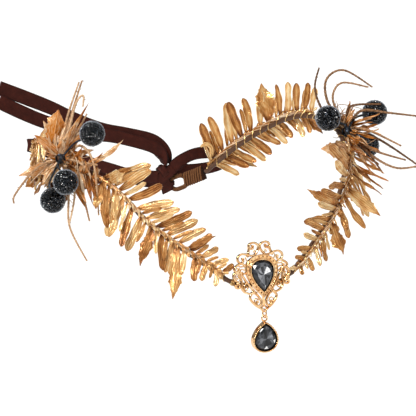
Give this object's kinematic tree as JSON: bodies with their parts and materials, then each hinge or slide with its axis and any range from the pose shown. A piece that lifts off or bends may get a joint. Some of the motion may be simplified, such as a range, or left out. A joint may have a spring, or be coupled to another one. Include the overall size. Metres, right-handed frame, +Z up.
{
  "type": "woodland flower crown",
  "caption": "Wire circlet of gilt leaves, dark sugared berries and raffia with a pierced medallion, a pear stone, a swinging pear drop and a flat lace tied behind",
  "frame": {"origin": "middle of the head that wears the crown, level with the temples", "axes": "+Z up, front towards -Y, +X on the right when the crown is seen from the front"},
  "size_m": [0.2481, 0.2056, 0.1454],
  "materials": {
    "band_tape": "brown paper tape wound round a wire",
    "twine": "brown wrapped twine",
    "leaf_gold": "gilt foil leaves, satin, streaked",
    "raffia": "dry raffia and gilt leaves wired in a bunch",
    "stem_wire": "wire wrapped in dark blue tape",
    "berry_sugar": "black bead covered in small clear grains",
    "gilt_metal": "warm rose-gold plating, polished",
    "smoke_stone": "cut smoky glass with a foiled back",
    "lace_leather": "flat dark brown lace, soft sheen"
  },
  "bodies": {
    "root": {"band": "band_tape", "eyelet_left": "twine", "eyelet_right": "twine", "front_frond_left": "leaf_gold", "front_frond_right": "leaf_gold", "back_frond_left": "leaf_gold", "back_frond_right": "leaf_gold", "cluster_left": "raffia", "cluster_right": "raffia", "berry_stems_left": "stem_wire", "berry_stems_right": "stem_wire", "berry_left_upper": "berry_sugar", "berry_left_middle": "berry_sugar", "berry_left_lower": "berry_sugar", "berry_right_upper": "berry_sugar", "berry_right_middle": "berry_sugar", "berry_right_lower": "berry_sugar", "medallion": "gilt_metal", "middle_stone": "smoke_stone", "lace_tie_left": "lace_leather", "lace_tie_right": "lace_leather", "lace_knot": "lace_leather", "lace_loop_left": "lace_leather", "lace_loop_right": "lace_leather", "lace_tail_upper": "lace_leather", "lace_tail_lower": "lace_leather"},
    "link": {"jump_ring": "gilt_metal"},
    "drop": {"drop_setting": "gilt_metal", "drop_stone": "smoke_stone"}
  },
  "joints": [
    {"name": "link_swing", "type": "hinge", "parent": "root", "child": "link", "pos_m": [0, -0.1035, -0.06092], "axis": [1, 0, 0], "range_deg": [-45, 60]},
    {"name": "drop_swing", "type": "hinge", "parent": "link", "child": "drop", "pos_m": [0, -0.1035, -0.0644], "axis": [0, 1, 0], "range_deg": [-40, 40]}
  ]
}
